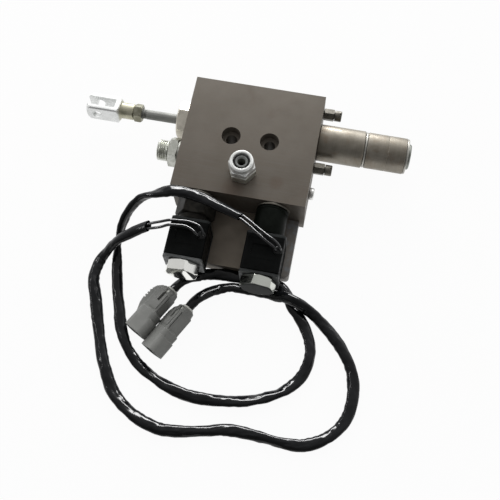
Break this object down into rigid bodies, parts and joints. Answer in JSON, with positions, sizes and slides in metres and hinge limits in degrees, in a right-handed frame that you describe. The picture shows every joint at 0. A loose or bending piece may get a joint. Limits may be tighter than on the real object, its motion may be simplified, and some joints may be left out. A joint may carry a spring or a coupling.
{
  "type": "hydraulic lift valve",
  "caption": "Stepped steel valve block with a sprung spool on a clevis rod, two solenoid cartridge valves with sleeved leads, hose fittings and adjusters.",
  "frame": {"origin": "centre of the head's back mounting face", "axes": "+X along the spool, from the clevis to the spring cap; +Y from the coils to the top of the block; +Z out of the drilled front face"},
  "size_m": [0.267, 0.2794, 0.0623],
  "materials": {
    "block_steel": "ground steel, warm grey, lightly stained",
    "machined_steel": "machined steel",
    "bright_zinc": "bright zinc plate",
    "yellow_zinc": "yellow zinc plate, faded",
    "black_plastic": "moulded, fine satin",
    "grey_plastic": "moulded, fine satin",
    "black_rubber": "matt rubber",
    "seal_rubber": "soft pale seal",
    "black_vinyl": "glossy, creased",
    "contact_metal": "tinned contact"
  },
  "bodies": {
    "body": {"valve_body": "block_steel", "port_seal_1": "black_rubber", "port_seal_2": "black_rubber", "gland_nut": "bright_zinc", "rod_wiper": "black_rubber", "spring_cap": "bright_zinc", "snap_ring": "bright_zinc", "end_housing": "bright_zinc", "end_ring": "bright_zinc", "end_plug": "bright_zinc", "spring_stop": "machined_steel", "return_spring": "machined_steel", "side_seal": "black_rubber", "side_fitting": "bright_zinc", "small_plug": "bright_zinc", "lock_nut_upper": "bright_zinc", "lock_nut_lower": "bright_zinc", "front_adapter": "bright_zinc", "nose_ring": "black_rubber", "cartridge_left": "machined_steel", "cartridge_right": "machined_steel", "seat_ring_left": "bright_zinc", "seat_ring_right": "bright_zinc", "plunger_spring_left": "machined_steel", "plunger_spring_right": "machined_steel", "coil_left": "black_plastic", "coil_right": "black_plastic", "yoke_left": "machined_steel", "yoke_right": "machined_steel", "coil_nut_left": "bright_zinc", "coil_nut_right": "bright_zinc", "wire_left_1": "black_vinyl", "wire_left_2": "black_vinyl", "wire_right_1": "black_vinyl", "wire_right_2": "black_vinyl", "sleeve_left": "black_vinyl", "sleeve_right": "black_vinyl", "connector_left": "grey_plastic", "connector_right": "grey_plastic", "wire_seal_left": "seal_rubber", "wire_seal_right": "seal_rubber", "latch_left": "grey_plastic", "latch_right": "grey_plastic", "terminal_left_1": "contact_metal", "terminal_left_2": "contact_metal", "terminal_right_1": "contact_metal", "terminal_right_2": "contact_metal"},
    "spool_rod": {"spool": "machined_steel", "clevis": "yellow_zinc", "jam_nut": "yellow_zinc", "spring_seat": "machined_steel"},
    "swivel": {"swivel_nut": "bright_zinc"},
    "adjuster_a": {"adjuster_upper": "bright_zinc"},
    "adjuster_b": {"adjuster_lower": "bright_zinc"},
    "armature_a": {"plunger_left": "machined_steel"},
    "armature_b": {"plunger_right": "machined_steel"}
  },
  "joints": [
    {"name": "spool_slide", "type": "slide", "parent": "body", "child": "spool_rod", "axis": [1, 0, 0], "range_m": [0, 0.01], "stiffness_N_per_m": 4000, "springref_m": -0.005, "deforming": ["return_spring"]},
    {"name": "swivel_turn", "type": "hinge", "parent": "body", "child": "swivel", "pos_m": [0.0001, -0.0286, 0.056], "axis": [0, 0, 1], "continuous": true},
    {"name": "adjuster_upper_turn", "type": "hinge", "parent": "body", "child": "adjuster_a", "pos_m": [0.0644, 0.0432, 0.024], "axis": [1, 0, 0], "range_deg": [-270, 270]},
    {"name": "adjuster_lower_turn", "type": "hinge", "parent": "body", "child": "adjuster_b", "pos_m": [0.0644, -0.0063, 0.024], "axis": [1, 0, 0], "range_deg": [-270, 270]},
    {"name": "plunger_left_slide", "type": "slide", "parent": "body", "child": "armature_a", "axis": [0, -1, 0], "range_m": [0, 0.003], "stiffness_N_per_m": 300, "springref_m": -0.003, "deforming": ["plunger_spring_left"]},
    {"name": "plunger_right_slide", "type": "slide", "parent": "body", "child": "armature_b", "axis": [0, -1, 0], "range_m": [0, 0.003], "stiffness_N_per_m": 300, "springref_m": -0.003, "deforming": ["plunger_spring_right"]}
  ]
}
